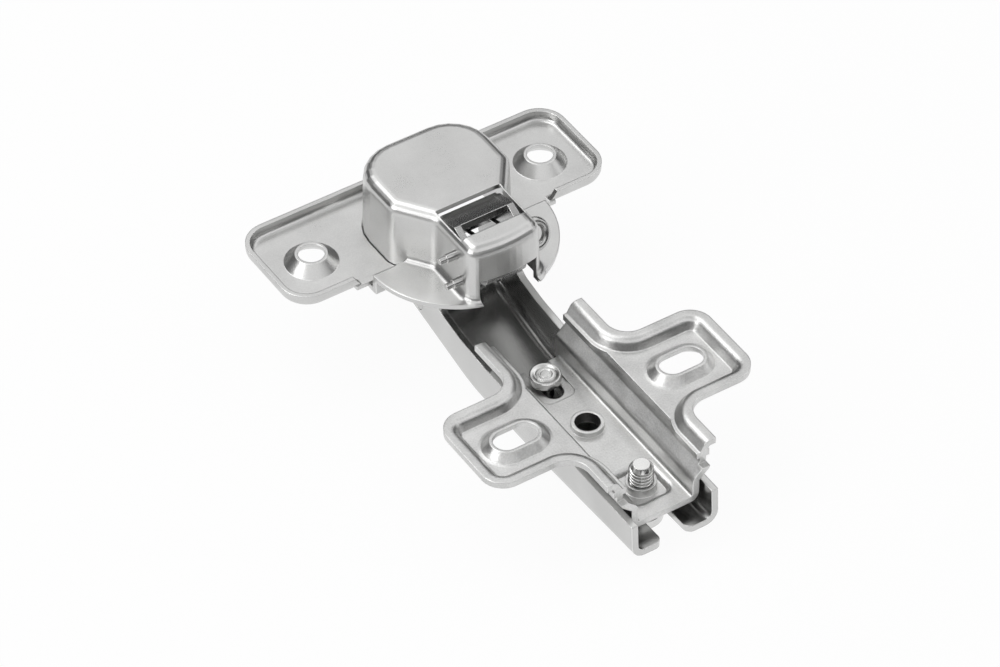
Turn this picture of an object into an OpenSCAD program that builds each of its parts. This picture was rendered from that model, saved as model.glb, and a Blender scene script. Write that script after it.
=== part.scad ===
// Concealed cabinet hinge with a 35 mm cup, a channel arm and a winged mounting plate.
// X runs along the wings, Y from the mounting plate to the cup, Z towards the wood.
// The origin lies on the plate's contact plane, midway between its two slotted holes.

/* [Mounting plate] */
// Distance between the two slotted screw holes
slot_spacing = 32; // [31:0.5:33]
// End to end length of a slotted hole
slot_length = 8; // [7:0.25:8.5]
// Width of a slotted hole
slot_width = 4.5; // [4:0.1:4.8]
// Thickness of the plate's sheet
plate_sheet = 1.2; // [1:0.05:1.3]
// Length of the plate across both wings
plate_span = 51; // [50:0.5:56]
// Width of a wing along the arm
wing_width = 18.2; // [17.6:0.2:20]
// Place of a wing's middle along the arm
wing_shift = 0.3; // [0:0.1:0.6]
// Height of the raised border above the wing's pad
border_rise = 1.9; // [1.5:0.1:2.1]
// Radius of the wing's outer corners
wing_corner = 4; // [3.8:0.2:4.6]
// Radius of the inner corner between wing and channel
wing_neck_radius = 4; // [3.6:0.2:4.4]
// Width of the channel across its flared lips
lip_span = 20.8; // [20.4:0.2:22]
// Place of the lips' end beside the fixing screw
lip_start = -18; // [-18.4:0.1:-17]
// Place of the lips' end towards the cup
lip_end = 20.8; // [20:0.1:22]
// Depth of the channel's floor below the contact plane
floor_depth = 9.4; // [9:0.1:9.8]
// Outer width of the channel's lower walls
channel_width = 13; // [12.6:0.1:13.4]
// Depth of the channel's shoulder below the contact plane
shoulder_depth = 4.2; // [4:0.1:4.4]
// Place of the floor's end beside the fixing screw
floor_start = -19.3; // [-20:0.1:-18.8]
// Place of the floor's end towards the cup
floor_end = 19.5; // [18.5:0.1:20.5]
// Width of the open slot for the overlay screw's neck
fork_width = 3.4; // [3.3:0.1:3.8]
// Place of the fork slot's closed end
fork_end = 11.5; // [11:0.1:11.8]
// Place of the middle collar
collar_place = 3.2; // [2:0.2:4]
// Bore of the middle collar
collar_bore = 4.3; // [4:0.1:4.6]
// Height of the middle collar above the floor
collar_rise = 1; // [0.6:0.1:1.4]

/* [Screws] */
// Place of the fixing screw
fixing_place = -12.3; // [-12.6:0.1:-12]
// Diameter of the fixing screw's thread
fixing_thread = 4; // [3.8:0.1:4.2]
// Height of the fixing screw's tip below the contact plane
fixing_tip_depth = 2.9; // [2:0.1:4]
// Diameter of the fixing screw's head
fixing_head = 7.6; // [7:0.2:8.4]
// Thickness of the fixing screw's head
fixing_head_height = 2.2; // [1.8:0.1:2.6]
// Travel of the arm under the fixing screw's head, each way
slide_travel = 2.5; // [2:0.1:2.6]
// Place of the overlay screw
overlay_place = 15.7; // [15.5:0.1:16]
// Diameter of the overlay screw's thread
overlay_thread = 6; // [5.6:0.1:6.4]
// Diameter of the overlay screw's neck
overlay_neck = 3; // [2.8:0.1:3.1]
// Diameter of the overlay screw's disc
overlay_disc = 5; // [4.6:0.1:5.4]
// Thickness of the overlay screw's disc
overlay_disc_height = 1.6; // [1.2:0.1:2]

/* [Arm] */
// Thickness of the arm's sheet
arm_sheet = 1.2; // [1:0.05:1.3]
// Outer width of the arm
arm_width = 16.6; // [16.4:0.1:16.7]
// Outer bend radius between the arm's web and walls
arm_bend = 2.5; // [2.2:0.1:2.8]
// Place of the arm's near end
arm_start = -22.3; // [-23:0.1:-21]
// Reach of the arm beyond the centre of the cup's bore
arm_reach = 2.4; // [2.2:0.1:3]
// Depth of the web's outer face at the near end
arm_depth = 13.9; // [13.6:0.1:14.2]
// Slope of the near stretch of the web in degrees
arm_near_slope = 3; // [2.6:0.1:3.2]
// Rise of the far stretch of the web in degrees
arm_far_slope = 13.5; // [13:0.1:14.5]
// Place where the web starts to slope up to the cup
arm_rise_place = 22; // [21:0.2:23]
// Width of the open slot in the web's near end
web_slot = 4.8; // [4.6:0.1:5.2]
// Distance of the web's far end before the centre of the cup's bore
web_end_back = 1; // [0.6:0.1:2]
// Depth of the wall's top edge over the mounting plate
wall_top_depth = 6.6; // [6.4:0.1:6.9]

/* [Linkage] */
// Distance of the outer link's pin in the arm before the bore's centre
arm_pin_outer_back = 4.6; // [4.5:0.05:4.7]
// Height of the outer link's pin in the arm
arm_pin_outer_z = -4.2; // [-4.3:0.05:-4.1]
// Distance of the inner link's pin in the arm before the bore's centre
arm_pin_inner_back = 1; // [0.9:0.05:1.1]
// Height of the inner link's pin in the arm
arm_pin_inner_z = -7.9; // [-8:0.05:-7.8]
// Distance of the axle leg that carries the outer link before the bore's centre
axle_outer_back = 10.5; // [10.4:0.05:10.6]
// Height of the outer link's axle leg above the door's face
axle_outer_rise = 7.3; // [7.2:0.05:7.4]
// Distance of the axle leg that carries the inner link before the bore's centre
axle_inner_back = 12.5; // [12.4:0.05:12.6]
// Height of the inner link's axle leg above the door's face
axle_inner_rise = 3.25; // [3.15:0.05:3.35]
// Diameter of the pins in the arm
arm_pin = 2.2; // [2:0.1:2.3]
// Diameter of the axle's wire
axle_wire = 1.5; // [1.4:0.05:1.6]
// Radial clearance of a hinge pin in its hole
pin_gap = 0.04; // [0.02:0.01:0.08]
// Radial clearance of the inner link's eye on its axle leg
open_gap = 0.42; // [0.38:0.01:0.45]
// Outer width of the outer link
outer_link_width = 11.4; // [11:0.1:11.6]
// Thickness of the outer link's cheeks
cheek_sheet = 1.2; // [1:0.05:1.3]
// Width of the outer link's band
cheek_band = 3.7; // [3.5:0.1:3.8]
// Reach of the outer link's knee beyond its axle leg
knee_reach = 11.5; // [11.3:0.1:11.6]
// Drop of the outer link's knee below its axle leg
knee_drop = 6.7; // [6.5:0.1:6.9]
// Bend radius of the outer link's knee
knee_bend = 4.4; // [4.2:0.1:4.6]
// Height of the roof's lower edge above the outer link's knee
roof_foot = 1.2; // [1:0.1:1.4]
// Distance of the outer link's near edge in the window beyond its axle leg
hood_near = 2.3; // [2.1:0.1:2.5]
// Height of the outer link's near edge above its axle leg
hood_rise = 3.4; // [3.2:0.1:3.5]
// Fall of the outer link's hood from its near edge to its far wall
hood_fall = 1.2; // [1:0.1:1.4]
// Distance of the hood's far wall beyond the axle leg
hood_reach = 7.45; // [7.2:0.05:7.5]
// Outer bend radius between the hood's roof and far wall
hood_bend = 2; // [1.8:0.1:2.2]
// Width of the inner link
inner_link_width = 7.6; // [7:0.1:8]
// Width of the inner link's band
inner_band = 2.4; // [2:0.1:2.6]
// Distance of the inner link's waist before the bore's centre
waist_back = 1.3; // [1.1:0.1:1.5]
// Height of the inner link's waist above its pin in the arm
waist_rise = 6.7; // [6.5:0.1:6.9]
// Bend radius of the inner link's waist
waist_bend = 3.4; // [3.2:0.1:3.6]
// Metal round the inner link's two eyes
eye_wall = 0.95; // [0.9:0.05:1]
// Diameter of the torsion spring's wire
spring_wire = 0.7; // [0.6:0.05:0.75]
// Radius of the torsion spring's coils
spring_radius = 1.3; // [1.25:0.05:1.35]
// Length of the torsion spring's legs down to its bridge
spring_bridge = 5.6; // [5.5:0.1:5.7]
// Length of the torsion spring's end legs
spring_leg = 3.4; // [3.2:0.1:3.6]

/* [Cup] */
// Distance from the slotted holes to the centre of the cup's bore
cup_place = 42.2; // [42.1:0.05:42.3]
// Height of the door's face above the plate's contact plane
door_height = 2.6; // [2.5:0.05:2.7]
// Depth of the cup below the door's face
cup_depth = 10.9; // [10.8:0.05:11.3]
// Thickness of the cup's sheet
cup_sheet = 0.9; // [0.8:0.05:1]
// Width of the cup's body
body_width = 24; // [23.6:0.1:24.2]
// Width of the cup's nose
nose_width = 14.6; // [14.4:0.1:14.8]
// Reach of the cup's body beyond the bore's centre
body_reach = 16.3; // [16:0.1:16.5]
// Reach of the cup's nose before the bore's centre
nose_reach = 16.4; // [16.2:0.1:16.6]
// Radius of the body's far corners
body_corner = 8; // [7.6:0.2:8.4]
// Outer radius of the cup's top edge
top_radius = 2; // [1.8:0.1:2.1]
// Lean of the cup's walls from bottom to top
wall_draft = 0.3; // [0.2:0.05:0.4]
// Radius of the round flange
flange_radius = 16.9; // [16.8:0.05:17.2]
// Place of the flange's step relative to the bore's centre
flange_step = -0.6; // [-0.7:0.1:-0.5]
// Width of the window over the link
window_width = 12.4; // [12:0.1:12.6]
// Length of the window over the link
window_length = 8; // [7.6:0.1:8.2]
// Place of the window's middle relative to the bore's centre
window_shift = -7.2; // [-7.3:0.1:-7.1]
// Width of the notch between the nose's legs
notch_width = 11; // [10.8:0.1:11.2]
// Height of the front wall's lower edge above the contact plane
front_edge = 6.8; // [6.6:0.1:7]

/* [Wing plate] */
// Distance between the two screw holes
screw_spacing = 45; // [44:0.5:46]
// Distance from the bore's centre to the line of the screw holes
screw_offset = 9.5; // [9.3:0.1:9.7]
// Bore of the screw holes
screw_hole = 4.5; // [4.2:0.1:4.8]
// Diameter of a dimple's base
dimple_base = 8.8; // [8.6:0.1:9.4]
// Length across both wings
tray_span = 62; // [61:0.5:64]
// Width of the wing plate
tray_width = 20; // [19.6:0.1:20.4]
// Thickness of the wing plate's sheet
tray_sheet = 0.8; // [0.7:0.05:0.85]
// Height of the rim above the pad
rim_rise = 1.85; // [1.8:0.05:1.9]
// Radius of the wing plate's corners
tray_corner = 5; // [4.6:0.2:5.6]
// Width of the rim's break beside the nose
rim_break = 37; // [36:0.5:38]

/* [Hidden] */
$fn = 48;
arc_steps = 6;
eps = 0.01;
overlap = 0.02;
cut = 60;
seat_gap = 0.1;
thread_gap = 0.05;

plate_edge = plate_span / 2;
lip_edge = lip_span / 2;
wing_near = wing_shift - wing_width / 2;
wing_far = wing_shift + wing_width / 2;
ramp_start = 0.9;
ramp_end = 3.0;
pad_height = -border_rise;
upper_wall = lip_edge - ramp_end;
lower_wall = channel_width / 2 - plate_sheet;
floor_top = -floor_depth;
floor_under = floor_top - plate_sheet;
sunk_drop = 0.9;
fork_drop = 0.35;

arm_edge = arm_width / 2;
arm_near_run = 27.3;
arm_near_radius = 60;
arm_far_radius = 30;
web_flat_depth = arm_depth + arm_near_run * sin(arm_near_slope);
function web_outer(y) = -arm_depth - (y - arm_start) * tan(arm_near_slope);

arm_end = cup_place + arm_reach;
web_end = cup_place - web_end_back;
pin_a = [cup_place - arm_pin_outer_back, arm_pin_outer_z];
pin_b = [cup_place - arm_pin_inner_back, arm_pin_inner_z];
axle_a = [cup_place - axle_outer_back, door_height + axle_outer_rise];
axle_b = [cup_place - axle_inner_back, door_height + axle_inner_rise];
eye_shift = [-0.33, 0];
eye_b = axle_b + eye_shift;

cup_top = door_height + cup_depth;
flange_low = door_height - rim_rise - tray_sheet - 0.05;
step_y = cup_place + flange_step;
body_edge = body_width / 2;
nose_edge = nose_width / 2;
body_far = cup_place + body_reach;
nose_near = cup_place - nose_reach;
pad_top = door_height - rim_rise;
tray_near = cup_place + screw_offset - tray_width / 2 + 0.6;
tray_far = tray_near + tray_width;

// Vector helpers for planar outlines
function unit(v) = v / norm(v);
function left_of(v) = [-v[1], v[0]];
function turn(a, b) = atan2(a[0] * b[1] - a[1] * b[0], a * b);
function xy(v) = [v[0], v[1]];
function heading(v) = atan2(v[1], v[0]);

// A vertex is [x, y, corner radius]; these give its corner's turn, trim and arc
function corner_turn(p, q, r) = turn(xy(q) - xy(p), xy(r) - xy(q));
function corner_trim(p, q, r) = q[2] * tan(abs(corner_turn(p, q, r)) / 2);
function corner_centre(p, q, r) =
    let (d = unit(xy(q) - xy(p)), side = sign(corner_turn(p, q, r)))
    xy(q) - d * corner_trim(p, q, r) + left_of(d) * q[2] * side;
function corner_arc(p, q, r, inset) =
    let (a = corner_turn(p, q, r), side = sign(a), c = corner_centre(p, q, r),
        start = heading(xy(q) - xy(p)) - 90 * side, radius = q[2] - side * inset)
    abs(a) < 0.01
        ? [xy(q) + left_of(unit(xy(r) - xy(p))) * inset]
        : [for (k = [0 : arc_steps])
            c + radius * [cos(start + a * k / arc_steps), sin(start + a * k / arc_steps)]];

// Points of a closed rounded outline, set in by a distance towards its left side
function rounded(v, inset = 0) =
    [for (i = [0 : len(v) - 1])
        each corner_arc(v[(i + len(v) - 1) % len(v)], v[i], v[(i + 1) % len(v)], inset)];

// Points of an open rounded path, moved sideways to its left by a distance
function path_end(v, last, inset) =
    let (n = len(v), d = last ? xy(v[n - 1]) - xy(v[n - 2]) : xy(v[1]) - xy(v[0]))
    [xy(last ? v[n - 1] : v[0]) + left_of(unit(d)) * inset];
function path_points(v, inset) = concat(
    path_end(v, false, inset),
    [for (i = [1 : 1 : len(v) - 2]) each corner_arc(v[i - 1], v[i], v[i + 1], inset)],
    path_end(v, true, inset));
function reversed(v) = [for (i = [len(v) - 1 : -1 : 0]) v[i]];
function mirrored(v) = [for (p = reversed(v)) [-p[0], p[1], p[2]]];

// A bent strip of sheet seen edge on, centred on its path
module strip(path, sheet)
    polygon(concat(path_points(path, sheet / 2), reversed(path_points(path, -sheet / 2))));

// The child profile is drawn as (distance inward, height) and swept round an outline
module swept(v, closed = true) {
    n = len(v);
    for (i = [0 : n - (closed ? 1 : 2)]) {
        p = v[(i + n - 1) % n];
        q = v[i];
        r = v[(i + 1) % n];
        s = v[(i + 2) % n];
        from = (closed || i > 0) ? corner_trim(p, q, r) : 0;
        to = (closed || i < n - 2) ? corner_trim(q, r, s) : 0;
        run = norm(xy(r) - xy(q)) - from - to;
        if (run > eps)
            translate(xy(q))
                rotate(heading(xy(r) - xy(q)))
                    translate([from, 0, 0])
                        rotate([90, 0, 90])
                            linear_extrude(run)
                                children();
    }
    for (i = [(closed ? 0 : 1) : n - (closed ? 1 : 2)]) {
        p = v[(i + n - 1) % n];
        q = v[i];
        r = v[(i + 1) % n];
        a = corner_turn(p, q, r);
        start = heading(xy(q) - xy(p));
        translate(corner_centre(p, q, r))
            if (a > 0)
                rotate(start - 90)
                    rotate_extrude(angle = a)
                        translate([q[2], 0])
                            mirror([1, 0])
                                children();
            else
                rotate(start + 90 + a)
                    rotate_extrude(angle = -a)
                        translate([q[2], 0])
                            children();
    }
}

// A pressed edge in profile: level lip, smooth ramp down and level pad
module pressed_profile(lip, foot, drop, stub, sheet) {
    bend = max(min(drop, foot - lip) * 0.45, sheet / 2 + 0.03);
    strip([[0, -sheet / 2, 0], [lip + (foot - lip) * 0.3, -sheet / 2, bend],
        [foot - (foot - lip) * 0.2, -drop - sheet / 2, bend], [foot + stub, -drop - sheet / 2, 0]], sheet);
}

function box_outline(x0, y0, x1, y1, r) = [[x0, y0, r], [x1, y0, r], [x1, y1, r], [x0, y1, r]];

// Right half of the plate's outline from the near lip round the wing to the far lip
plate_half = [[lip_edge, lip_start, 0], [lip_edge, wing_near, wing_neck_radius],
    [plate_edge, wing_near, wing_corner], [plate_edge, wing_far, wing_corner],
    [lip_edge, wing_far, wing_neck_radius], [lip_edge, lip_end, 0]];

// Half of the channel's section, from the floor's middle out to the pad
module channel_section() {
    middle = lower_wall + plate_sheet / 2;
    outer = upper_wall + plate_sheet / 2;
    strip([[-eps, floor_top - plate_sheet / 2, 0], [middle, floor_top - plate_sheet / 2, 1.1],
        [middle, -shoulder_depth - 1.9, 0.9], [outer, -shoulder_depth, 0.9],
        [outer, pad_height - plate_sheet / 2, 0.62],
        [outer + 1.2, pad_height - plate_sheet / 2, 0]], plate_sheet);
}

module channel_half()
    difference() {
        translate([0, lip_end, 0])
            rotate([90, 0, 0])
                linear_extrude(lip_end - floor_start)
                    channel_section();
        translate([upper_wall - 0.3, floor_start - 1, -shoulder_depth])
            cube([cut, lip_start - floor_start + 1, cut]);
        translate([-1, floor_end, -cut])
            cube([lower_wall + 1, cut, cut - shoulder_depth]);
    }

// The slot's raised boss is a sheet cone round a racetrack
module slot_boss() {
    flare = 2.05;
    boss_rise = border_rise - 0.4;
    half_length = slot_length / 2 + flare;
    half_width = slot_width / 2 + flare;
    outline = box_outline(-half_length, -half_width, half_length, half_width, half_width);
    swept(outline)
        polygon([[-0.3, pad_height], [0.2, pad_height + 0.1], [flare - 0.5, pad_height + boss_rise],
            [flare, pad_height + boss_rise], [flare, pad_height + boss_rise - 0.9],
            [0.4, pad_height - plate_sheet], [-0.3, pad_height - plate_sheet]]);
}

module racetrack(length, width, height)
    for (side = [-1, 1])
        union() {
            translate([side * (length - width) / 2, 0, 0])
                cylinder(h = height, d = width);
            translate([(width - length) / 2, -width / 2, 0])
                cube([length - width, width, height]);
        }

module plate_wing() {
    base_flare = 2.25;
    difference() {
        union() {
            swept(plate_half, closed = false)
                pressed_profile(ramp_start, ramp_end, border_rise, 0.6, plate_sheet);
            translate([0, 0, pad_height - plate_sheet])
                linear_extrude(plate_sheet)
                    intersection() {
                        polygon(path_points(plate_half, ramp_end + 0.3));
                        translate([upper_wall + 0.4, lip_start])
                            square([cut, lip_end - lip_start]);
                    }
        }
        translate([slot_spacing / 2, 0, -cut / 2])
            racetrack(slot_length + 2 * base_flare, slot_width + 2 * base_flare, cut);
    }
    translate([slot_spacing / 2, 0, 0])
        slot_boss();
}

module mirror_copy(axis) {
    children();
    mirror(axis)
        children();
}

module sunk_pad(outline, drop, ramp)
    translate([0, 0, floor_top]) {
        swept(outline)
            pressed_profile(0.1, ramp, drop, 0.3, plate_sheet);
        translate([0, 0, -drop - plate_sheet])
            linear_extrude(plate_sheet)
                polygon(rounded(outline, ramp + 0.15));
    }

module mounting_plate() {
    sunk = box_outline(-4.4, fixing_place - 4.6, 4.4, fixing_place + 4.6, 2.2);
    fork_pad = [[-3.1, fork_end - 0.9, 1.6], [3.1, fork_end - 0.9, 1.6],
        [3.1, floor_end, 0], [-3.1, floor_end, 0]];
    color("silver")
        difference() {
            union() {
                difference() {
                    mirror_copy([1, 0, 0]) {
                        channel_half();
                        plate_wing();
                    }
                    translate([0, 0, floor_under - 1])
                        linear_extrude(plate_sheet + 2)
                            polygon(rounded(sunk, 0.05));
                }
                sunk_pad(sunk, sunk_drop, 1.1);
                translate([0, collar_place, floor_under])
                    cylinder(h = plate_sheet + collar_rise, d = collar_bore + 1.2);
                translate([0, fixing_place, floor_under - sunk_drop])
                    cylinder(h = plate_sheet + 1.7, d = fixing_thread + 1.2);
            }
            translate([0, 0, floor_top - fork_drop])
                linear_extrude(cut)
                    intersection() {
                        polygon(rounded(fork_pad));
                        translate([-cut / 2, 0])
                            square([cut, floor_end + 1]);
                    }
            translate([0, collar_place, -cut])
                cylinder(h = 2 * cut, d = collar_bore);
            translate([0, fixing_place, -cut])
                cylinder(h = 2 * cut, d = fixing_thread + 2 * thread_gap);
            translate([0, fork_end + fork_width / 2, -cut])
                cylinder(h = 2 * cut, d = fork_width);
            translate([-fork_width / 2, fork_end + fork_width / 2, -cut])
                cube([fork_width, cut, 2 * cut]);
        }
}

// Section of the arm's channel, its web's outer face at height zero
module arm_section(height) {
    half = arm_edge - arm_sheet / 2;
    strip([[-half, height, 0], [-half, arm_sheet / 2, arm_bend - arm_sheet / 2],
        [half, arm_sheet / 2, arm_bend - arm_sheet / 2], [half, height, 0]], arm_sheet);
}

module straight(run)
    translate([0, run + overlap, 0])
        rotate([90, 0, 0])
            linear_extrude(run + 2 * overlap)
                children();

module bent(radius, angle)
    translate([0, 0, radius])
        rotate([0, 90, 0])
            rotate_extrude(angle = angle, $fn = 180)
                translate([radius, 0])
                    rotate(90)
                        children();

// The arm's web runs down, level and up again, with its walls square to it
module arm_channel(height) {
    far_run = arm_end - arm_rise_place;
    level_run = arm_rise_place - arm_start - arm_near_run * cos(arm_near_slope)
        - arm_near_radius * sin(arm_near_slope);
    translate([0, arm_start, -arm_depth])
        rotate([-arm_near_slope, 0, 0]) {
            straight(arm_near_run)
                arm_section(height);
            translate([0, arm_near_run, 0]) {
                bent(arm_near_radius, arm_near_slope)
                    arm_section(height);
                translate([0, arm_near_radius * sin(arm_near_slope),
                    arm_near_radius * (1 - cos(arm_near_slope))])
                    rotate([arm_near_slope, 0, 0]) {
                        straight(level_run)
                            arm_section(height);
                        translate([0, level_run, 0]) {
                            bent(arm_far_radius, arm_far_slope)
                                arm_section(height);
                            translate([0, arm_far_radius * sin(arm_far_slope),
                                arm_far_radius * (1 - cos(arm_far_slope))])
                                rotate([arm_far_slope, 0, 0])
                                    straight(far_run)
                                        arm_section(height);
                        }
                    }
            }
        }
}

// Side outline that the arm's walls are trimmed to
module arm_profile() {
    low = -arm_depth - 6;
    boss = 2.3;
    polygon(rounded([[arm_start, low, 0], [arm_end, low, 0], [arm_end, pin_b[1] + 0.6, 1.5],
        [arm_end - 1.8, pin_a[1] + boss, 2.5], [pin_a[0] - 1.2, pin_a[1] + boss, 1.6],
        [pin_a[0] - 2.6, pin_a[1] - 0.4, 3], [pin_a[0] - 8.6, (pin_a[1] - wall_top_depth) / 2 - 0.5, 12],
        [arm_rise_place, -wall_top_depth, 12], [arm_start, -wall_top_depth - 0.4, 0.6]]));
}

module hinge_arm() {
    height = 14;
    lip_radius = 1.4;
    slot_far = fixing_place + 5.6;
    color("silver")
        difference() {
            intersection() {
                arm_channel(height);
                translate([-cut / 2, 0, 0])
                    rotate([90, 0, 90])
                        linear_extrude(cut)
                            arm_profile();
            }
            translate([0, 0, -cut])
                linear_extrude(cut - wall_top_depth - 3)
                    polygon(rounded([[web_slot / 2 + 2 * lip_radius, arm_start - 2 * lip_radius, 0],
                        [web_slot / 2 + 2 * lip_radius, arm_start, 0], [web_slot / 2, arm_start, lip_radius],
                        [web_slot / 2, slot_far, web_slot / 2 - eps],
                        [-web_slot / 2, slot_far, web_slot / 2 - eps],
                        [-web_slot / 2, arm_start, lip_radius],
                        [-web_slot / 2 - 2 * lip_radius, arm_start, 0],
                        [-web_slot / 2 - 2 * lip_radius, arm_start - 2 * lip_radius, 0]]));
            translate([0, 0, -cut - wall_top_depth])
                linear_extrude(cut)
                    polygon(rounded([[-5.4, web_end, 2], [5.4, web_end, 2], [5.4, cut, 0], [-5.4, cut, 0]]));
            translate([0, overlay_place, -cut])
                cylinder(h = cut, d = overlay_thread + 2 * thread_gap);
            bore_x(pin_a, arm_pin);
            bore_x(pin_b, arm_pin);
        }
}

module arm_pin_solid(pin) {
    chamfer = 0.25;
    half = arm_edge + 0.1;
    color("gray")
        translate([0, pin[0], pin[1]])
            rotate([0, 90, 0])
                rotate_extrude()
                    polygon([[0, -half], [arm_pin / 2 - chamfer, -half], [arm_pin / 2, chamfer - half],
                        [arm_pin / 2, half - chamfer], [arm_pin / 2 - chamfer, half], [0, half]]);
}

module arm_pin_outer()
    arm_pin_solid(pin_a);

module arm_pin_inner()
    arm_pin_solid(pin_b);

// Side shapes are drawn as (Y, Z) and extruded along X between two places
module along_x(from, to)
    translate([from, 0, 0])
        rotate([90, 0, 90])
            linear_extrude(to - from)
                children();

module round_x(centre, d, width)
    translate([-width / 2, centre[0], centre[1]])
        rotate([0, 90, 0])
            cylinder(h = width, d = d);

module bore_x(centre, d)
    round_x(centre, d, cut);

// The outer link's band leaves the axle and turns over the arm's end, back to its pin
link_knee = axle_a + [knee_reach, -knee_drop];
link_path = [[axle_a[0], axle_a[1], 0], [link_knee[0], link_knee[1], knee_bend], [pin_a[0], pin_a[1], 0]];
link_run = unit(link_knee - axle_a);

// Height above the axle leg of a line beside the band, at a distance beyond the leg
function beside_band(offset, y) = (y * link_run[1] + offset) / link_run[0];

// Side outline of the hood that stands in the cup's window, as places beyond and above the axle leg
hood_outline = [[-cheek_band * 0.3, cheek_band * 0.4, 0], [hood_near, hood_rise, 0.4],
    [hood_reach, hood_rise - hood_fall, hood_bend], [hood_reach, beside_band(cheek_band / 4, hood_reach), 0],
    [0, 0, 0]];

module outer_link() {
    edge = outer_link_width / 2;
    half = cheek_sheet / 2;
    wall = hood_reach - half;
    color("gainsboro")
        difference() {
            union() {
                mirror_copy([1, 0, 0])
                    translate([edge - half, 0, 0]) {
                        along_x(-half, half)
                            strip(link_path, cheek_band);
                        along_x(-half, half)
                            translate(axle_a)
                                polygon(rounded(hood_outline));
                        round_x(axle_a, cheek_band, cheek_sheet);
                        round_x(pin_a, cheek_band, cheek_sheet);
                    }
                along_x(-edge + eps, edge - eps)
                    intersection() {
                        polygon(concat(path_points(link_path, cheek_band / 2),
                            reversed(path_points(link_path, cheek_band / 2 - cheek_sheet))));
                        translate([axle_a[0] + hood_reach - cheek_sheet, link_knee[1] + roof_foot])
                            square(cut);
                    }
                along_x(-edge + eps, edge - eps)
                    translate(axle_a)
                        strip([[hood_near, hood_rise - half, 0],
                            [wall, hood_rise - hood_fall - half, hood_bend - half],
                            [wall, beside_band(cheek_band / 2 - half, wall), 0]], cheek_sheet);
            }
            bore_x(axle_a, axle_wire + 2 * pin_gap);
            bore_x(pin_a, arm_pin + 2 * pin_gap);
        }
}

// The inner link bows past the outer link's pin and ends in two eyes
module inner_link() {
    edge = inner_link_width / 2;
    waist = [cup_place - waist_back, pin_b[1] + waist_rise];
    color("darkgray")
        difference() {
            union() {
                along_x(-edge, edge)
                    strip([[eye_b[0], eye_b[1], 0], [waist[0], waist[1], waist_bend],
                        [pin_b[0], pin_b[1], 0]], inner_band);
                round_x(eye_b, axle_wire + 2 * (open_gap + eye_wall), inner_link_width);
                round_x(pin_b, arm_pin + 2 * eye_wall, inner_link_width);
            }
            bore_x(eye_b, axle_wire + 2 * open_gap);
            bore_x(pin_b, arm_pin + 2 * pin_gap);
        }
}

// The axle is one wire, bent round beside the nose, with a stepped tip on each leg
module axle_staple() {
    span = norm(axle_b - axle_a);
    middle = (axle_a + axle_b) / 2;
    bend_place = nose_edge + 0.3;
    leg_end = -nose_edge - 1.6;
    tip = 1.1;
    tip_length = 1.3;
    color("silver")
        translate([0, middle[0], middle[1]])
            rotate([heading(axle_a - axle_b), 0, 0]) {
                for (side = [-1, 1])
                    translate([0, side * span / 2, 0])
                        rotate([0, 90, 0])
                            rotate_extrude()
                                polygon([[0, leg_end - tip_length], [tip / 2, leg_end - tip_length],
                                    [tip / 2, leg_end], [axle_wire / 2, leg_end],
                                    [axle_wire / 2, bend_place], [0, bend_place]]);
                translate([bend_place, 0, 0])
                    rotate(-90)
                        rotate_extrude(angle = 180)
                            translate([span / 2, 0])
                                circle(d = axle_wire);
            }
}

// The cup's outline, from the middle of the nose's bowed front round the body and back
nose_half = [[nose_edge, nose_near + 1.1, 2.7], [nose_edge, cup_place - 4.6, 2.7]];
body_half = [[body_edge, cup_place + 2, 3.5], [body_edge, body_far, body_corner]];
body_outline = concat([[0, nose_near - 0.15, 22]], nose_half, body_half,
    mirrored(body_half), mirrored(nose_half));

// Flat end of a loft, filled in by strips across from the middle of the outline's first corner
function level_cap(n) =
    let (m = arc_steps / 2)
    [for (j = [0 : (n - 3) / 2])
        let (a = m + j, b = a + 1, c = (n + m - j - 1) % n, d = (n + m - j) % n)
        each j == 0 ? [[a, b, c]] : [[a, b, c], [a, c, d]]];

// Solid through a symmetrical outline at several levels, each level being [inset, height]
module lofted(v, levels) {
    rings = [for (l = levels) [for (p = rounded(v, l[0])) [p[0], p[1], l[1]]]];
    n = len(rings[0]);
    top = (len(rings) - 1) * n;
    walls = [for (i = [0 : len(rings) - 2], k = [0 : n - 1])
        let (a = i * n + k, b = i * n + (k + 1) % n)
        each [[a, a + n, b + n], [a, b + n, b]]];
    polyhedron([for (ring = rings) each ring],
        concat(level_cap(n), walls, [for (t = level_cap(n)) [top + t[0], top + t[2], top + t[1]]]),
        convexity = 6);
}

// Levels of the cup's skin: leaning wall, then a top edge of radius r about the common centre line
function skin_levels(r, bottom) = concat([[top_radius - r, bottom]],
    [for (k = [0 : arc_steps]) let (a = 90 * k / arc_steps)
        [wall_draft + top_radius - r * cos(a), cup_top - top_radius + r * sin(a)]]);

// Levels of the fillet between the near flange and the wall's foot, sunk into both
function foot_levels(r, root) =
    let (lean = wall_draft * (door_height + r - flange_low) / (cup_top - top_radius - flange_low))
    concat([[-r, door_height - root]],
        [for (k = [0 : arc_steps]) let (a = 90 * k / arc_steps)
            [lean - overlap - r + r * sin(a), door_height + r - r * cos(a)]]);

// Round flange whose far half is set lower, for the wing plate
module stepped_flange() {
    bottom = flange_low - cup_sheet;
    difference() {
        translate([0, cup_place, bottom])
            cylinder(h = door_height - bottom, r = flange_radius);
        translate([-cut / 2, step_y - cup_sheet - cut, door_height - cup_sheet - cut])
            cube(cut);
        translate([-cut / 2, step_y, flange_low])
            cube(cut);
    }
}

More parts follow.
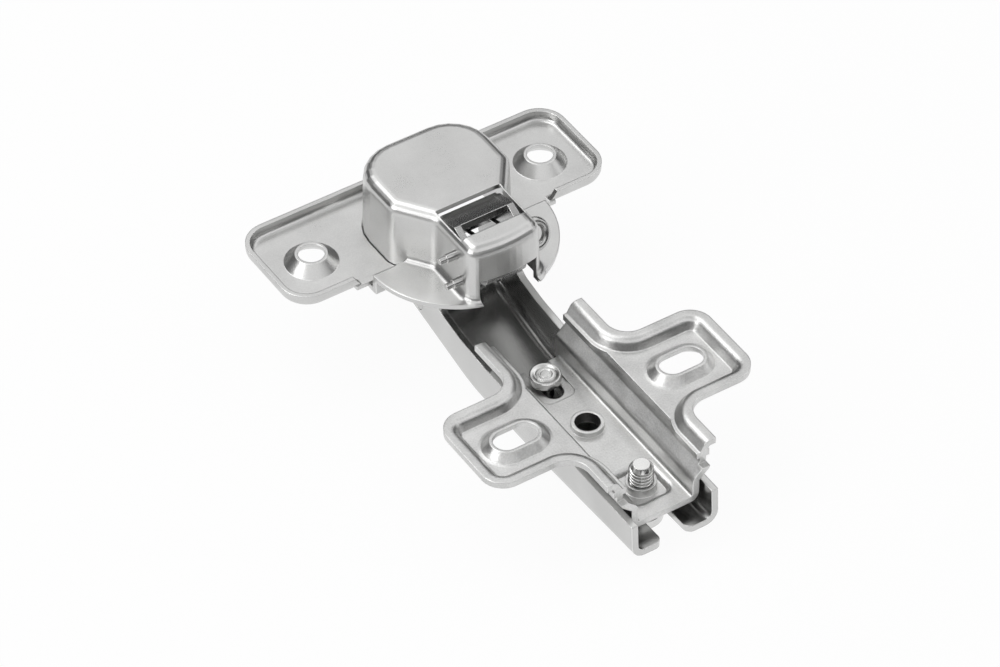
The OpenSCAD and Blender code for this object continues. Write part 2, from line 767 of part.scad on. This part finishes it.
module cup_shell() {
    front_cut = 12;
    color("silver")
        difference() {
            union() {
                stepped_flange();
                difference() {
                    lofted(body_outline, skin_levels(top_radius, flange_low - cup_sheet / 2));
                    translate([-cut / 2, step_y - cup_sheet / 2 - cut, door_height - cup_sheet / 2 - cut])
                        cube(cut);
                }
                intersection() {
                    lofted(body_outline, foot_levels(1, 0.3));
                    translate([-cut / 2, step_y - cut, 0])
                        cube(cut);
                }
            }
            lofted(body_outline, skin_levels(top_radius - cup_sheet, flange_low - 2 * cup_sheet));
            translate([-window_width / 2, cup_place + window_shift - window_length / 2, cup_top - 3.4])
                cube([window_width, window_length, cut]);
            translate([-notch_width / 2, nose_near - 6, front_edge - cut])
                cube([notch_width, front_cut, cut]);
            bore_x(axle_a, axle_wire + 2 * pin_gap);
            bore_x(axle_b, axle_wire + 2 * pin_gap);
        }
}

// The wing plate is a shallow tray under the flange's far half, open round the cup's body
module wing_plate() {
    edge = tray_span / 2;
    break_edge = rim_break / 2;
    half = tray_sheet / 2;
    bend = 0.9;
    rim_path = [[break_edge, tray_near, 0], [edge, tray_near, tray_corner], [edge, tray_far, tray_corner],
        [-edge, tray_far, tray_corner], [-edge, tray_near, tray_corner], [-break_edge, tray_near, 0]];
    pad_outline = [[-edge, tray_near, tray_corner], [edge, tray_near, tray_corner],
        [edge, tray_far, tray_corner], [-edge, tray_far, tray_corner]];
    flare = (dimple_base - screw_hole) / 2;
    color("silver")
        difference() {
            union() {
                swept(rim_path, closed = false)
                    strip([[half, door_height, 0], [half, pad_top - half, bend + half],
                        [bend + 2, pad_top - half, 0]], tray_sheet);
                translate([0, 0, pad_top - tray_sheet])
                    linear_extrude(tray_sheet)
                        difference() {
                            union() {
                                polygon(rounded(pad_outline, bend + 1.5));
                                translate([-break_edge - 1, tray_near])
                                    square([2 * break_edge + 2, 4]);
                            }
                            for (side = [-1, 1])
                                translate([side * screw_spacing / 2, cup_place + screw_offset])
                                    circle(d = dimple_base);
                        }
                for (side = [-1, 1])
                    translate([side * screw_spacing / 2, cup_place + screw_offset, 0])
                        rotate_extrude()
                            polygon([[dimple_base / 2 + 0.2, pad_top - tray_sheet],
                                [dimple_base / 2 + 0.2, pad_top],
                                [screw_hole / 2 + 0.5, door_height], [screw_hole / 2, door_height],
                                [screw_hole / 2, door_height - 0.7],
                                [dimple_base / 2 - 0.5, pad_top - tray_sheet]]);
            }
            translate([0, 0, -cut / 2])
                linear_extrude(cut)
                    polygon(rounded(body_outline, -seat_gap));
            mirror_copy([1, 0, 0])
                translate([break_edge, tray_near, pad_top])
                    rotate([0, 35, 0])
                        translate([-4, -1, 0])
                            cube([4, 3, 6]);
        }
}

// Sweep of a round wire along points in space
wire_reference = [1, 0, 1];
function wire_ring(points, i, d, sides) =
    let (last = len(points) - 1, along = unit(points[min(i + 1, last)] - points[max(i - 1, 0)]),
        side = unit(cross(along, wire_reference)), up = cross(side, along))
    [for (k = [0 : sides - 1]) points[i] + d / 2 * (side * cos(360 * k / sides) + up * sin(360 * k / sides))];
module wire(points, d, sides = 8) {
    n = len(points);
    rings = [for (i = [0 : n - 1]) each wire_ring(points, i, d, sides)];
    walls = [for (i = [0 : n - 2], k = [0 : sides - 1])
        let (a = i * sides + k, b = i * sides + (k + 1) % sides)
        each [[a, b, b + sides], [a, b + sides, a + sides]]];
    polyhedron(rings, concat([[for (k = [sides - 1 : -1 : 0]) k]], walls,
        [[for (k = [0 : sides - 1]) (n - 1) * sides + k]]), convexity = 6);
}

// Twin torsion spring: two coils on the axle, a bridge under the link and two end legs
module torsion_spring() {
    outer = outer_link_width / 2 - cheek_sheet - spring_wire / 2 - 0.15;
    pitch = spring_wire + 0.06;
    lean = 17;
    spin = 720 + lean;
    steps = 32;
    inner = outer - pitch * spin / 360;
    end_leg = [outer, axle_a[0] - spring_leg, axle_a[1] + spring_radius];
    helix = [for (k = [0 : steps])
        let (a = 90 - spin * k / steps)
        [outer + (inner - outer) * k / steps,
            axle_a[0] + spring_radius * cos(a), axle_a[1] + spring_radius * sin(a)]];
    root = helix[steps];
    slope = [0, cos(lean), -sin(lean)];
    half = concat([end_leg], helix, [root + slope * (spring_bridge - spring_wire),
        root + slope * (spring_bridge - 0.2) + [-0.2, 0, 0],
        root + slope * spring_bridge + [-spring_wire, 0, 0]]);
    other = [for (p = reversed(half)) [-p[0], p[1], p[2]]];
    color("dimgray")
        wire(concat(half, other), spring_wire);
}

// Turned screws are drawn as (radius, height) half sections
module overlay_screw() {
    disc_low = floor_top + 0.5;
    thread_top = floor_under - 0.5;
    web_low = -web_flat_depth;
    color("silver")
        difference() {
            translate([0, overlay_place, 0])
                rotate_extrude()
                    polygon([[0, web_low - 0.4], [overlay_thread / 2 - 0.4, web_low - 0.4],
                        [overlay_thread / 2, web_low], [overlay_thread / 2, thread_top],
                        [overlay_neck / 2, thread_top], [overlay_neck / 2, disc_low],
                        [overlay_disc / 2, disc_low],
                        [overlay_disc / 2, disc_low + overlay_disc_height - 0.2],
                        [overlay_disc / 2 - 0.2, disc_low + overlay_disc_height],
                        [0, disc_low + overlay_disc_height]]);
            for (turn = [0, 90])
                translate([0, overlay_place, web_low - 0.4])
                    rotate(turn)
                        cube([3.6, 0.8, 2.4], center = true);
        }
}

module fixing_screw() {
    head_top = web_outer(fixing_place + fixing_head / 2 + slide_travel);
    head_low = head_top - fixing_head_height;
    tip = 2.6;
    color("lightgray")
        difference() {
            translate([0, fixing_place, 0])
                rotate_extrude()
                    polygon([[0, head_low], [fixing_head / 2 - 0.7, head_low],
                        [fixing_head / 2, head_low + 0.7],
                        [fixing_head / 2, head_top], [fixing_thread / 2, head_top],
                        [fixing_thread / 2, -fixing_tip_depth - 0.9], [tip / 2, -fixing_tip_depth],
                        [0, -fixing_tip_depth]]);
            for (turn = [0, 90])
                translate([0, fixing_place, head_low])
                    rotate(turn)
                        cube([4.4, 0.9, 2.6], center = true);
        }
}

mounting_plate();
hinge_arm();
cup_shell();
wing_plate();
axle_staple();
outer_link();
inner_link();
arm_pin_outer();
arm_pin_inner();
torsion_spring();
overlay_screw();
fixing_screw();
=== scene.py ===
import math
import bpy
from mathutils import Matrix, Vector


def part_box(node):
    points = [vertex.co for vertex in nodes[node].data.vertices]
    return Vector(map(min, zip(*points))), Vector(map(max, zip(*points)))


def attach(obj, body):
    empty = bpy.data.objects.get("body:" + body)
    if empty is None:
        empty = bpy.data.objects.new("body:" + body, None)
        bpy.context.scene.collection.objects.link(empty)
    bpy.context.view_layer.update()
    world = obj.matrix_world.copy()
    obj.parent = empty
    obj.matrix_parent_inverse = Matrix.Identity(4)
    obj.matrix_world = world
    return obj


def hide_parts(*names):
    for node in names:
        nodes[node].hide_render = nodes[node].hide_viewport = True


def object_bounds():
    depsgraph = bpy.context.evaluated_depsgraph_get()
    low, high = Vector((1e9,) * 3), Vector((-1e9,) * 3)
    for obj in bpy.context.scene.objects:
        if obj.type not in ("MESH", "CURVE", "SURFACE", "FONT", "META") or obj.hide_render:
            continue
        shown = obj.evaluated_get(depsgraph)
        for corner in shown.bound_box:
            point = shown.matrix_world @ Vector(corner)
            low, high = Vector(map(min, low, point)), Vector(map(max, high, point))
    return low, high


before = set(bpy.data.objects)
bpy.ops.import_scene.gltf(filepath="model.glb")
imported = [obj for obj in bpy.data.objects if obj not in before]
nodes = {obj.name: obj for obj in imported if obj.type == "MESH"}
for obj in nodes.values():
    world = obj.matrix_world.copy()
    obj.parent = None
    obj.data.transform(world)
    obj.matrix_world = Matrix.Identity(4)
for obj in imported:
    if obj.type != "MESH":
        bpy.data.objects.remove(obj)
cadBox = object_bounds()
print("frame loaded")


def clearMaterial(name):
    made = bpy.data.materials.new(name)
    made.use_nodes = True
    made.node_tree.nodes.clear()
    return made, made.node_tree.nodes, made.node_tree.links


def setInputs(shader, values):
    for name, value in values.items():
        shader.inputs[name].default_value = value


def grey(level):
    return (level, level, level, 1)


# What all the steels share
steelValues = {
    "cloudDetail": 4,
    "grainDetail": 3,
    "grainRoughness": 0.65,
    "lineDetail": 5,
    "grainShare": 0.45,  # of grain against cloud, in tone and in gloss
    "noiseLow": 0.3,  # the noise that gives the darkest tone and the highest gloss
    "noiseHigh": 0.7,
    "blueShare": 0.99,  # a trace warmer than grey
    "edgeSamples": 6,
    "highlightFrom": 0.995,  # cosine of the turn at an edge where the painted edge highlight begins, and where it is full
    "highlightFull": 0.86,
    # pale colour of the painted highlight along edges
    "paintedEdgeHighlight": (0.86, 0.86, 0.85, 1),
}


# Zinc or nickel plated steel: fine grain, cloudy gloss, faint rolling lines and a painted highlight
# brightening the edges
def platedSteel(name, finish):
    v = steelValues
    made, tree, links = clearMaterial(name)
    out = tree.new("ShaderNodeOutputMaterial")
    skin = tree.new("ShaderNodeBsdfPrincipled")
    skin.inputs["Metallic"].default_value = 1
    links.new(skin.outputs["BSDF"], out.inputs["Surface"])
    place = tree.new("ShaderNodeTexCoord")

    cloud = tree.new("ShaderNodeTexNoise")
    setInputs(cloud, {"Scale": finish["cloudScale"], "Detail": v["cloudDetail"]})
    links.new(place.outputs["Object"], cloud.inputs["Vector"])

    grain = tree.new("ShaderNodeTexNoise")
    setInputs(grain, {"Scale": finish["grainScale"], "Detail": v["grainDetail"],
                      "Roughness": v["grainRoughness"]})
    links.new(place.outputs["Object"], grain.inputs["Vector"])

    stretch = tree.new("ShaderNodeMapping")
    stretch.inputs["Scale"].default_value = finish["rolled"]
    links.new(place.outputs["Object"], stretch.inputs["Vector"])
    lines = tree.new("ShaderNodeTexNoise")
    setInputs(lines, {"Scale": 1, "Detail": v["lineDetail"]})
    links.new(stretch.outputs["Vector"], lines.inputs["Vector"])

    # An edge shows where the rounded normal turns away from the real one, and gets a painted highlight there
    soft = tree.new("ShaderNodeBevel")
    soft.samples = v["edgeSamples"]
    soft.inputs["Radius"].default_value = finish["edge"]
    real = tree.new("ShaderNodeNewGeometry")
    bend = tree.new("ShaderNodeVectorMath")
    bend.operation = "DOT_PRODUCT"
    links.new(soft.outputs["Normal"], bend.inputs[0])
    links.new(real.outputs["True Normal"], bend.inputs[1])
    edgeHighlightMask = tree.new("ShaderNodeMapRange")
    setInputs(edgeHighlightMask, {"From Min": v["highlightFrom"], "From Max": v["highlightFull"], "To Min": 0, "To Max": 1})
    links.new(bend.outputs["Value"], edgeHighlightMask.inputs["Value"])

    tone = tree.new("ShaderNodeValToRGB")
    ends = zip(tone.color_ramp.elements, (v["noiseLow"], v["noiseHigh"]), finish["tone"])
    for end, noise, level in ends:
        end.position = noise
        end.color = (level, level, level * v["blueShare"], 1)
    both = tree.new("ShaderNodeMix")
    both.data_type = "FLOAT"
    both.inputs["Factor"].default_value = v["grainShare"]
    links.new(cloud.outputs["Fac"], both.inputs["A"])
    links.new(grain.outputs["Fac"], both.inputs["B"])
    links.new(both.outputs["Result"], tone.inputs["Fac"])
    # edges are brightened towards a pale grey: a painted highlight
    paintedEdgeHighlight = tree.new("ShaderNodeMix")
    paintedEdgeHighlight.data_type = "RGBA"
    paintedEdgeHighlight.inputs["B"].default_value = v["paintedEdgeHighlight"]
    links.new(edgeHighlightMask.outputs["Result"], paintedEdgeHighlight.inputs["Factor"])
    links.new(tone.outputs["Color"], paintedEdgeHighlight.inputs["A"])
    links.new(paintedEdgeHighlight.outputs["Result"], skin.inputs["Base Color"])

    gloss = tree.new("ShaderNodeMapRange")
    setInputs(gloss, {"From Min": v["noiseLow"], "From Max": v["noiseHigh"],
                      "To Min": finish["roughness"][0], "To Max": finish["roughness"][1]})
    links.new(both.outputs["Result"], gloss.inputs["Value"])
    links.new(gloss.outputs["Result"], skin.inputs["Roughness"])

    height = tree.new("ShaderNodeMath")
    height.operation = "MULTIPLY_ADD"
    height.inputs[1].default_value = finish["lineDepth"]
    links.new(lines.outputs["Fac"], height.inputs[0])
    links.new(grain.outputs["Fac"], height.inputs[2])
    relief = tree.new("ShaderNodeBump")
    setInputs(relief, {"Strength": 1, "Distance": finish["grainDepth"]})
    links.new(height.outputs["Value"], relief.inputs["Height"])
    links.new(soft.outputs["Normal"], relief.inputs["Normal"])
    links.new(relief.outputs["Normal"], skin.inputs["Normal"])
    return made


# Tone and roughness run from the noise's low to its high; rolling lines lie along the smallest scale
finishes = {
    "plateSteel": {"tone": (0.46, 0.76), "roughness": (0.26, 0.38), "cloudScale": 160, "grainScale": 3200,
                   "grainDepth": 0.000034, "rolled": (900, 200, 900), "lineDepth": 0.5, "edge": 0.00025},
    "armSteel": {"tone": (0.50, 0.64), "roughness": (0.20, 0.28), "cloudScale": 110, "grainScale": 6500,
                 "grainDepth": 0.000008, "rolled": (1500, 90, 1500), "lineDepth": 0.8, "edge": 0.00025},
    "cupSteel": {"tone": (0.52, 0.68), "roughness": (0.26, 0.34), "cloudScale": 130, "grainScale": 7000,
                 "grainDepth": 0.000010, "rolled": (700, 700, 300), "lineDepth": 0.3, "edge": 0.0003},
    "wingSteel": {"tone": (0.50, 0.70), "roughness": (0.26, 0.36), "cloudScale": 140, "grainScale": 6000,
                  "grainDepth": 0.000012, "rolled": (200, 1000, 1000), "lineDepth": 0.4, "edge": 0.0002},
    "pinSteel": {"tone": (0.44, 0.58), "roughness": (0.18, 0.26), "cloudScale": 200, "grainScale": 7000,
                 "grainDepth": 0.000006, "rolled": (300, 3000, 3000), "lineDepth": 0.4, "edge": 0.00015},
    # links are toned darker as painted shade, for lying deep inside the cup
    "linkSteelPaintedShade": {"tone": (0.34, 0.48), "roughness": (0.22, 0.30), "cloudScale": 170, "grainScale": 6000,
                  "grainDepth": 0.000010, "rolled": (300, 1500, 1500), "lineDepth": 0.5, "edge": 0.0002},
    "springSteel": {"tone": (0.40, 0.52), "roughness": (0.22, 0.30), "cloudScale": 300, "grainScale": 8000,
                    "grainDepth": 0.000005, "rolled": (900, 900, 900), "lineDepth": 0.3, "edge": 0.0001},
    "screwSteel": {"tone": (0.58, 0.76), "roughness": (0.18, 0.26), "cloudScale": 220, "grainScale": 6500,
                   "grainDepth": 0.000004, "rolled": (900, 900, 900), "lineDepth": 0.3, "edge": 0.00012},
}
nodeFinish = {
    "mounting_plate": "plateSteel",
    "hinge_arm": "armSteel",
    "cup_shell": "cupSteel",
    "wing_plate": "wingSteel",
    "axle_staple": "pinSteel",
    "outer_link": "linkSteelPaintedShade",
    "inner_link": "linkSteelPaintedShade",
    "arm_pin_outer": "pinSteel",
    "arm_pin_inner": "pinSteel",
    "torsion_spring": "springSteel",
    "overlay_screw": "screwSteel",
    "fixing_screw": "screwSteel",
}
steels = {name: platedSteel(name, finish) for name, finish in finishes.items()}


def giveSteel(piece, name):
    piece.data.materials.clear()
    piece.data.materials.append(steels[name])


for node, name in nodeFinish.items():
    giveSteel(nodes[node], name)
print("steel finishes on", len(nodeFinish), "nodes")


def editAll():
    bpy.ops.object.mode_set(mode="EDIT")
    bpy.ops.mesh.select_all(action="SELECT")


def selectOnly(*pieces):  # the first one is active
    bpy.ops.object.select_all(action="DESELECT")
    for piece in pieces:
        piece.select_set(True)
    bpy.context.view_layer.objects.active = pieces[0]


def addFlatRing(sides, radius, place):
    bpy.ops.object.select_all(action="DESELECT")
    bpy.ops.mesh.primitive_circle_add(vertices=sides, radius=radius, fill_type="NGON", location=place)
    return bpy.context.object


def extrude(step):
    bpy.ops.mesh.extrude_region_move(TRANSFORM_OT_translate={"value": step})


def widen(share, centre):
    bpy.ops.transform.resize(value=(share, share, 1), center_override=centre)


def applyPlace():
    bpy.ops.object.transform_apply(location=True, rotation=True, scale=True)


# What both screws share
screwValues = {
    "threadSides": 32,
    "turnSteps": 12,  # rings in one turn of the thread
    "headSides": 48,
    "mergeDistance": 0.000005,
    "smoothAngle": 40,
}


# A ring set off the axis by half the thread's depth and turned as it rises leaves a thread.
# It ends in edit mode with the last ring selected.
def windThread(v, foot, lift, count):
    x, y = v["place"]
    screw = addFlatRing(screwValues["threadSides"], (v["thread"] - v["threadDepth"]) / 2, (0, 0, 0))
    editAll()
    bpy.ops.transform.translate(value=(x + v["threadDepth"] / 2, y, foot))
    for _ in range(count):
        extrude((0, 0, lift))
        bpy.ops.transform.rotate(value=2 * math.pi / screwValues["turnSteps"], orient_axis="Z",
                                 center_override=(x, y, 0))
    return screw


def joinScrew(screw, *parts):
    selectOnly(screw, *parts)
    bpy.ops.object.join()
    editAll()
    bpy.ops.mesh.remove_doubles(threshold=screwValues["mergeDistance"])
    bpy.ops.mesh.normals_make_consistent(inside=False)
    bpy.ops.object.mode_set(mode="OBJECT")
    bpy.ops.object.shade_smooth_by_angle(angle=math.radians(screwValues["smoothAngle"]))
    giveSteel(screw, "screwSteel")


# Fixing screw: its head is below the arm and its tapered tip shows in the plate's collar
fixingValues = {
    "place": (0, -0.0123),
    "thread": 0.0041,
    "threadDepth": 0.0006,
    "pitch": 0.0007,
    "rootSink": 0.0002,  # the thread starts this far inside the head
    "tip": 0.0028,
    "tipRise": 0.0006,
    "tipDrop": 0.0019,  # below the top of the CAD screw
    "headHeight": 0.0022,
    "headEdge": 0.0006,
    "slotSize": (0.0044, 0.0009, 0.0026),  # one cutter of the crossed slot, half of it in the head
}


def makeFixingScrew():
    v = fixingValues
    x, y = v["place"]
    lowCorner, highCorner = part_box("fixing_screw")
    low, top = lowCorner.z, highCorner.z - v["tipDrop"]
    head = (highCorner.x - lowCorner.x) / 2
    lift = v["pitch"] / screwValues["turnSteps"]
    shoulder = low + v["headHeight"]
    foot = shoulder - v["rootSink"]
    count = int((top - v["tipRise"] - shoulder) / lift)
    screw = windThread(v, foot, lift, count)
    screw.name = "fixing_screw_thread"
    extrude((0, 0, top - (foot + count * lift)))
    widen(v["tip"] / (v["thread"] - v["threadDepth"]), (x, y, top))
    bpy.ops.object.mode_set(mode="OBJECT")

    face = head - v["headEdge"]
    cap = addFlatRing(screwValues["headSides"], face, (x, y, low))
    editAll()
    extrude((0, 0, v["headEdge"]))
    widen(head / face, (x, y, low))
    extrude((0, 0, v["headHeight"] - v["headEdge"]))
    bpy.ops.mesh.select_all(action="SELECT")
    bpy.ops.mesh.normals_make_consistent(inside=False)
    bpy.ops.object.mode_set(mode="OBJECT")
    applyPlace()
    for turn in (0, 90):
        bpy.ops.mesh.primitive_cube_add(size=1, location=(x, y, low), rotation=(0, 0, math.radians(turn)))
        cutter = bpy.context.object
        cutter.scale = v["slotSize"]
        applyPlace()
        cut = cap.modifiers.new("slot", "BOOLEAN")
        cut.operation = "DIFFERENCE"
        cut.object = cutter
        selectOnly(cap)
        bpy.ops.object.modifier_apply(modifier="slot")
        bpy.data.objects.remove(cutter)
    joinScrew(screw, cap)
    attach(screw, "fixing_screw")
    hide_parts("fixing_screw")


makeFixingScrew()
print("fixing screw threaded")

# Overlay screw: the formed disc carries pressed rings and sits close to the fork
overlayValues = {
    "place": (0, 0.0157),
    "thread": 0.0058,
    "threadDepth": 0.0006,
    "threadLength": 0.0026,
    "pitch": 0.001,
    "neck": 0.003,
    "neckOverlap": 0.0008,  # shared out between the thread and the disc
    "disc": 0.0054,
    "discHeight": 0.0013,
    "discDrop": 0.00042,  # below the top of the CAD screw
    "rimHeight": 0.0002,
    "rimShare": 0.93,
    "rings": ((0.0006, -0.00012), (0.00035, 0.00012), (0.0005, -0.00012), (0.0003, 0.0001)),  # width and rise
    "ringFlat": 0.75,  # share of a ring's width that stays level, before its slope
}


def makeOverlayScrew():
    v = overlayValues
    x, y = v["place"]
    lowCorner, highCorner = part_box("overlay_screw")
    low, top = lowCorner.z, highCorner.z - v["discDrop"]
    neckLow = low + v["threadLength"]
    discLow = top - v["discHeight"]
    lift = v["pitch"] / screwValues["turnSteps"]
    screw = windThread(v, low, lift, int((neckLow - low) / lift))
    screw.name = "overlay_screw_disc"
    bpy.ops.object.mode_set(mode="OBJECT")

    bpy.ops.object.select_all(action="DESELECT")
    bpy.ops.mesh.primitive_cylinder_add(vertices=screwValues["headSides"], radius=v["neck"] / 2,
                                        depth=discLow - neckLow + v["neckOverlap"],
                                        location=(x, y, (discLow + neckLow) / 2))
    neck = bpy.context.object
    applyPlace()

    disc = addFlatRing(screwValues["headSides"], v["disc"] / 2, (x, y, discLow))
    editAll()
    extrude((0, 0, v["discHeight"] - v["rimHeight"]))
    extrude((0, 0, v["rimHeight"]))
    widen(v["rimShare"], (x, y, top))
    for inset, rise in v["rings"]:
        bpy.ops.mesh.inset(thickness=inset * v["ringFlat"])
        bpy.ops.mesh.inset(thickness=inset * (1 - v["ringFlat"]))
        bpy.ops.transform.translate(value=(0, 0, rise))
    bpy.ops.object.mode_set(mode="OBJECT")
    applyPlace()
    joinScrew(screw, neck, disc)
    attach(screw, "overlay_screw")
    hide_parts("overlay_screw")


makeOverlayScrew()
print("overlay screw formed")

# Outer link's hood: its far corner is nearly sharp
hoodValues = {
    "half": 0.0053,
    "outline": ((0.0366, 0.01205), (0.0366, 0.01255), (0.0389, 0.01205),
                (0.03908, 0.0118), (0.03908, 0.0098), (0.0381, 0.0098)),  # along Y and Z
}


def makeHoodCorner():
    v = hoodValues
    corner = addFlatRing(len(v["outline"]), v["half"], (0, 0, 0))  # its vertices then take the outline
    corner.name = "hood_corner"
    for vertex, (y, z) in zip(corner.data.vertices, v["outline"]):
        vertex.co = (-v["half"], y, z)
    editAll()
    extrude((2 * v["half"], 0, 0))
    bpy.ops.mesh.select_all(action="SELECT")
    bpy.ops.mesh.normals_make_consistent(inside=False)
    bpy.ops.object.mode_set(mode="OBJECT")
    giveSteel(corner, "linkSteelPaintedShade")
    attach(corner, "outer_link")


makeHoodCorner()
print("hood corner set")

# Floor: pale, and bright enough by itself to read as white
floorValues = {"size": 6.0, "gap": 0.0002, "tone": 0.82, "whiteShare": 0.94}


def makeFloor():
    v = floorValues
    made, tree, links = clearMaterial("paleFloor")
    out = tree.new("ShaderNodeOutputMaterial")
    plain = tree.new("ShaderNodeBsdfDiffuse")
    plain.inputs["Color"].default_value = grey(v["tone"])
    white = tree.new("ShaderNodeEmission")
    setInputs(white, {"Color": grey(1), "Strength": 1})
    path = tree.new("ShaderNodeLightPath")
    either = tree.new("ShaderNodeMath")  # metal and the camera see the same white
    either.operation = "MAXIMUM"
    links.new(path.outputs["Is Camera Ray"], either.inputs[0])
    links.new(path.outputs["Is Glossy Ray"], either.inputs[1])
    share = tree.new("ShaderNodeMath")
    share.operation = "MULTIPLY"
    share.inputs[1].default_value = v["whiteShare"]
    links.new(either.outputs["Value"], share.inputs[0])
    mix = tree.new("ShaderNodeMixShader")
    links.new(share.outputs["Value"], mix.inputs["Fac"])
    links.new(plain.outputs["BSDF"], mix.inputs[1])
    links.new(white.outputs["Emission"], mix.inputs[2])
    links.new(mix.outputs["Shader"], out.inputs["Surface"])
    bpy.ops.object.select_all(action="DESELECT")
    bpy.ops.mesh.primitive_plane_add(size=v["size"], location=(0, 0, cadBox[0].z - v["gap"]))
    floor = bpy.context.object
    floor.name = "floor"
    floor.data.materials.append(made)


makeFloor()

# World: a bright ceiling over a darker band for the metal to show, and plain white for the camera.
# Height runs from 0, straight down, through 0.5 at the horizon to 1, straight up.
worldValues = {
    "below": 0.55,
    "above": 0.50,
    "between": ((0.5, 0.10), (0.68, 0.04), (0.77, 0.35), (0.85, 1.45)),  # height and brightness
}


def makeWorld():
    v = worldValues
    world = bpy.data.worlds.new("studio")
    bpy.context.scene.world = world
    world.use_nodes = True
    tree, links = world.node_tree.nodes, world.node_tree.links
    tree.clear()
    out = tree.new("ShaderNodeOutputWorld")
    place = tree.new("ShaderNodeTexCoord")
    split = tree.new("ShaderNodeSeparateXYZ")
    links.new(place.outputs["Generated"], split.inputs["Vector"])
    rise = tree.new("ShaderNodeMapRange")
    setInputs(rise, {"From Min": -1, "From Max": 1})
    links.new(split.outputs["Z"], rise.inputs["Value"])
    ramp = tree.new("ShaderNodeValToRGB")
    levels = ramp.color_ramp.elements
    levels[0].color = grey(v["below"])
    levels[1].color = grey(v["above"])
    for height, brightness in v["between"]:
        level = levels.new(height)
        level.color = grey(brightness)
    links.new(rise.outputs["Result"], ramp.inputs["Fac"])
    path = tree.new("ShaderNodeLightPath")
    seen = tree.new("ShaderNodeMix")
    seen.data_type = "RGBA"
    seen.inputs["B"].default_value = grey(1)
    links.new(path.outputs["Is Camera Ray"], seen.inputs["Factor"])
    links.new(ramp.outputs["Color"], seen.inputs["A"])
    back = tree.new("ShaderNodeBackground")
    links.new(seen.outputs["Result"], back.inputs["Color"])
    links.new(back.outputs["Background"], out.inputs["Surface"])


makeWorld()

# Lamps: three soft squares turned to the middle of the hinge
lampValues = {
    "target": (0, 0.03, 0),
    "lamps": {
        "overhead": {"place": (-0.15, 0.30, 0.62), "size": 0.40, "power": 0.9},
        "left": {"place": (-0.60, 0.05, 0.30), "size": 0.35, "power": 1.2},
        "right": {"place": (0.55, -0.25, 0.22), "size": 0.30, "power": 0.3},
    },
}


def makeLamps():
    target = Vector(lampValues["target"])
    for name, v in lampValues["lamps"].items():
        light = bpy.data.lights.new(name, "AREA")
        light.shape = "SQUARE"
        light.size = v["size"]
        light.energy = v["power"]
        lamp = bpy.data.objects.new(name, light)
        bpy.context.scene.collection.objects.link(lamp)
        lamp.location = v["place"]
        lamp.rotation_euler = (target - lamp.location).to_track_quat("-Z", "Y").to_euler()


makeLamps()
print("stage and light ready")

# Camera: its place and its three directions come from the photograph's vanishing lines and known sizes
cameraValues = {
    "place": (-0.34999, -0.51375, 0.60574),
    "right": (0.83959, -0.54322, -0.00190),
    "down": (-0.37577, -0.57825, -0.72417),
    "ahead": (0.39229, 0.60871, -0.68962),
    "lens": 194.4,
    "sensor": 36,
    "near": 0.01,
    "far": 20,
}


def makeCamera():
    v = cameraValues
    data = bpy.data.cameras.new("photoCamera")
    data.lens = v["lens"]
    data.sensor_width = v["sensor"]
    data.clip_start = v["near"]
    data.clip_end = v["far"]
    camera = bpy.data.objects.new("photoCamera", data)
    bpy.context.scene.collection.objects.link(camera)
    right, down, ahead = (Vector(v[way]).normalized() for way in ("right", "down", "ahead"))
    turn = Matrix((right, -down, -ahead)).transposed()
    camera.matrix_world = Matrix.Translation(Vector(v["place"])) @ turn.to_4x4()
    bpy.context.scene.camera = camera


makeCamera()
bpy.context.scene.view_settings.view_transform = "Standard"
print("camera ready")
